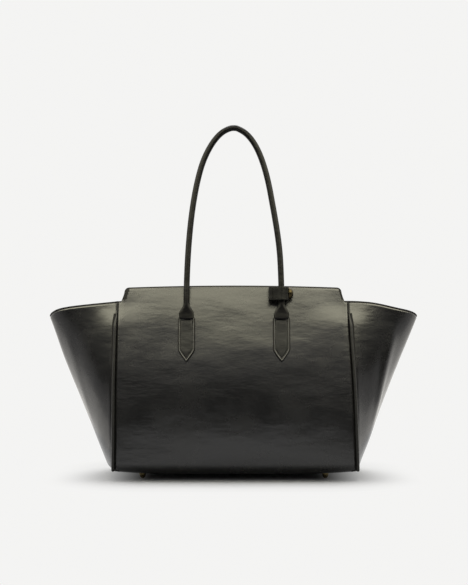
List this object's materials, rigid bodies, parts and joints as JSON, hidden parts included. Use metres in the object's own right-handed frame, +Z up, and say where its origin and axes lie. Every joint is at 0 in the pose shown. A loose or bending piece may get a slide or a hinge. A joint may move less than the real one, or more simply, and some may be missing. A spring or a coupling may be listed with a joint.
{
  "type": "tote bag",
  "caption": "Winged leather tote bag with rolled handles, piped seams, a snap keeper, a lined inside with a zip pocket, and small metal feet.",
  "frame": {"origin": "on the floor under the middle of the base, within the sag of the base", "axes": "+X along the front to the viewer's right, +Y from the front panel to the back panel, +Z up"},
  "size_m": [0.488, 0.309, 0.4601],
  "materials": {
    "black_leather": "smooth, semi-gloss",
    "rolled_leather": "smooth, satin",
    "facing_leather": "satin",
    "lining_cloth": "matt",
    "stiff_board": "matt",
    "brass": "polished",
    "dark_nickel": "satin",
    "zip_cloth": "matt"
  },
  "bodies": {
    "bag": {"front_panel": "black_leather", "back_panel": "black_leather", "left_gusset": "black_leather", "right_gusset": "black_leather", "base_panel": "black_leather", "base_board": "stiff_board", "lining_front": "lining_cloth", "lining_back": "lining_cloth", "lining_left": "lining_cloth", "lining_right": "lining_cloth", "lining_base": "lining_cloth", "facing_front": "facing_leather", "facing_back": "facing_leather", "facing_left": "facing_leather", "facing_right": "facing_leather", "foot_front_left": "brass", "foot_front_right": "brass", "foot_back_left": "brass", "foot_back_right": "brass", "foot_nut_front_left": "dark_nickel", "foot_nut_front_right": "dark_nickel", "foot_nut_back_left": "dark_nickel", "foot_nut_back_right": "dark_nickel", "piping_front_left": "black_leather", "piping_front_right": "black_leather", "piping_back_left": "black_leather", "piping_back_right": "black_leather", "handle_tab_front_left": "black_leather", "handle_tab_front_right": "black_leather", "handle_tab_back_left": "black_leather", "handle_tab_back_right": "black_leather", "zip_tape": "zip_cloth", "magnet_front": "brass", "magnet_back": "brass"},
    "front_handle": {"front_handle": "rolled_leather"},
    "back_handle": {"back_handle": "rolled_leather"},
    "keeper": {"keeper_strap": "black_leather", "keeper_snap_stud": "brass"},
    "keeper_flap": {"keeper_flap": "black_leather", "keeper_snap_cap": "brass"},
    "zip_slider": {"zip_slider": "brass"},
    "zip_pull": {"zip_pull": "facing_leather"}
  },
  "joints": [
    {"name": "front_handle_hinge", "type": "hinge", "parent": "bag", "child": "front_handle", "pos_m": [0, -0.06849, 0.207], "axis": [1, 0, 0], "range_deg": [-2, 154]},
    {"name": "back_handle_hinge", "type": "hinge", "parent": "bag", "child": "back_handle", "pos_m": [0, 0.06849, 0.207], "axis": [1, 0, 0], "range_deg": [0, 154]},
    {"name": "keeper_slide", "type": "slide", "parent": "front_handle", "child": "keeper", "axis": [0, 0.2079, 0.9781], "range_m": [0, 0.03]},
    {"name": "keeper_flap_slide", "type": "slide", "parent": "keeper", "child": "keeper_flap", "axis": [1, 0, 0], "range_m": [0, 0.008]},
    {"name": "zip_slide", "type": "slide", "parent": "bag", "child": "zip_slider", "axis": [1, 0, 0], "range_m": [0, 0.148]},
    {"name": "zip_pull_swing", "type": "hinge", "parent": "zip_slider", "child": "zip_pull", "pos_m": [-0.074, 0.06063, 0.168], "axis": [-1, 0, 0], "range_deg": [0, 150]}
  ]
}
